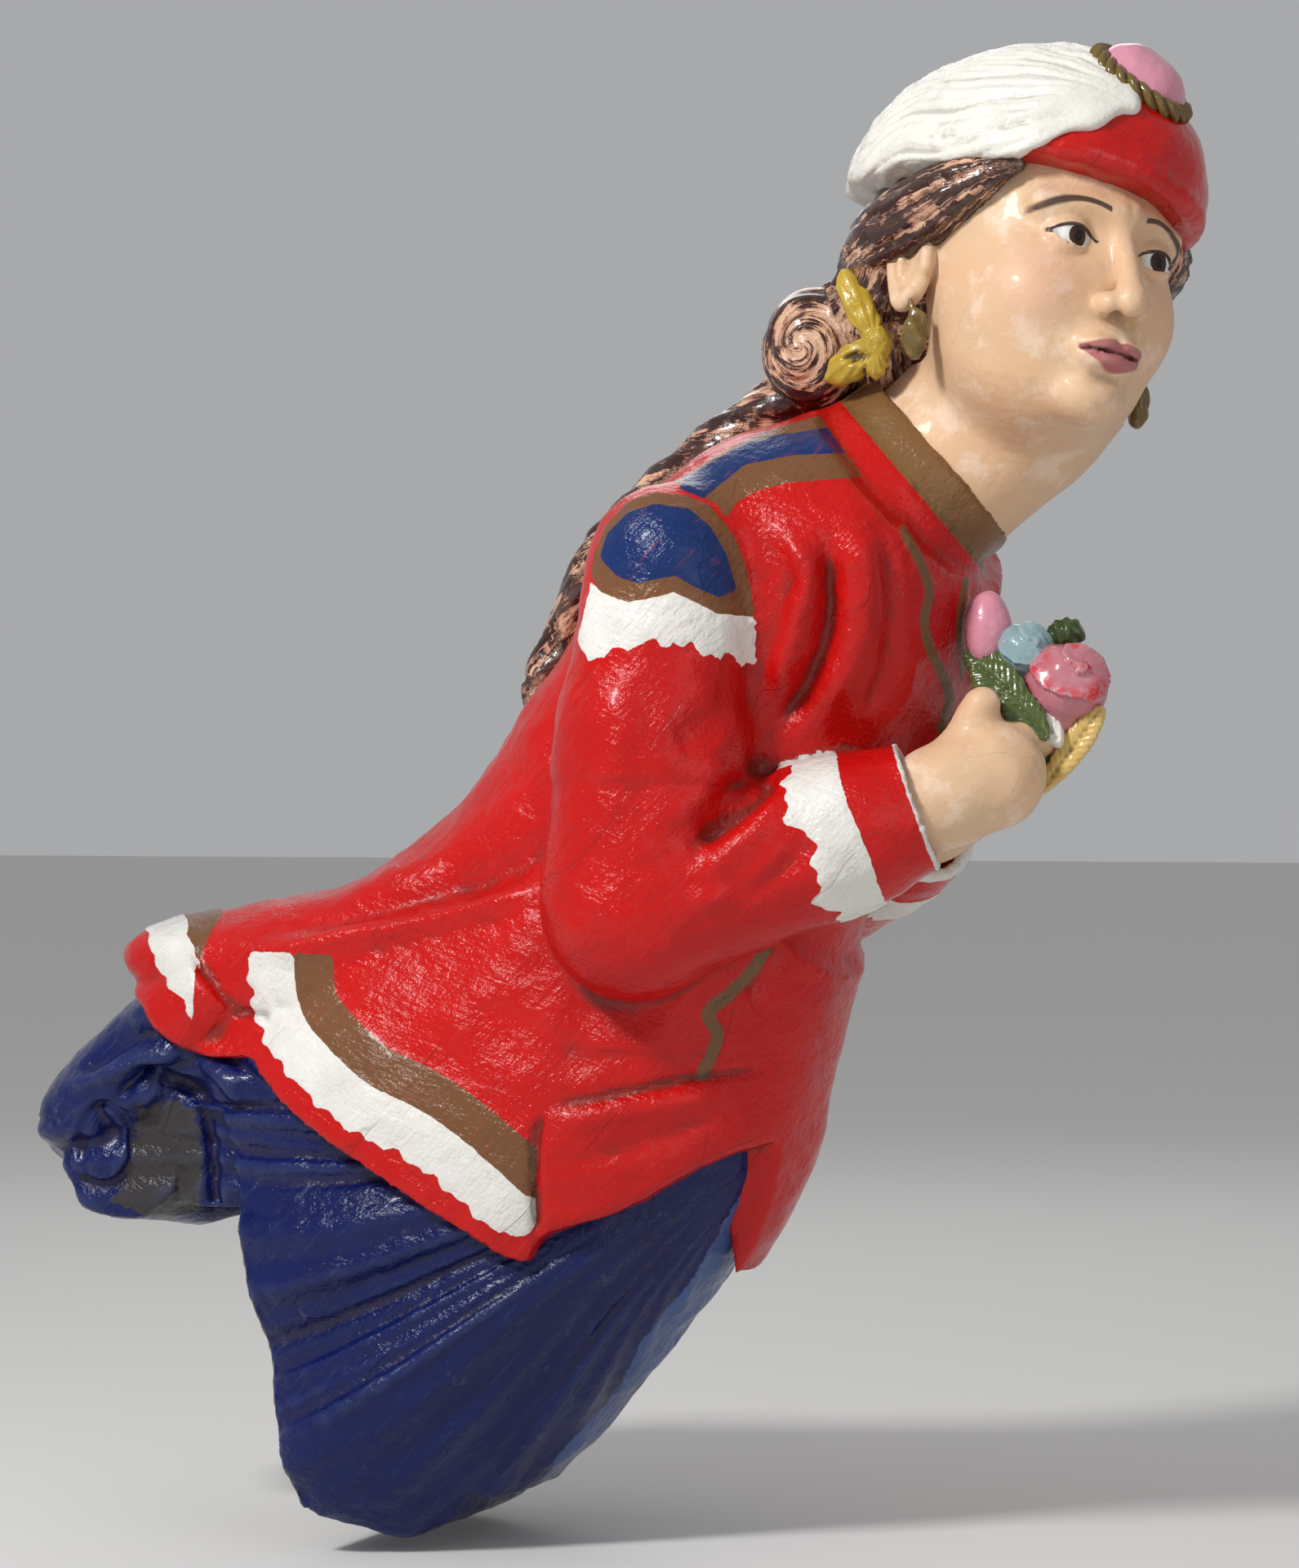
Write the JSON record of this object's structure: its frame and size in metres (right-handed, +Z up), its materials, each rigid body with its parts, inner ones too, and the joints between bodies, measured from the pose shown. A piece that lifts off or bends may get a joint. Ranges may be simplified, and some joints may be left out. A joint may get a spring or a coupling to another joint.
{
  "type": "ship figurehead",
  "caption": "Carved and painted wooden ship figurehead, a woman in jacket and skirt leaning forward with a posy held at the breast, seated flat on the stem.",
  "frame": {"origin": "middle of the flat sawn seat at the back of the skirt that bears on the ship's stem", "axes": "+X is the way the figure faces, +Y is the figure's left, +Z is up"},
  "size_m": [0.8862, 0.4502, 1.0691],
  "materials": {
    "painted_wood": "carved softwood under brushed gloss paint, red jacket, blue skirt, flesh tones and white trim, scuffed and cracked"
  },
  "bodies": {
    "root": {"figurehead": "painted_wood"}
  },
  "joints": []
}
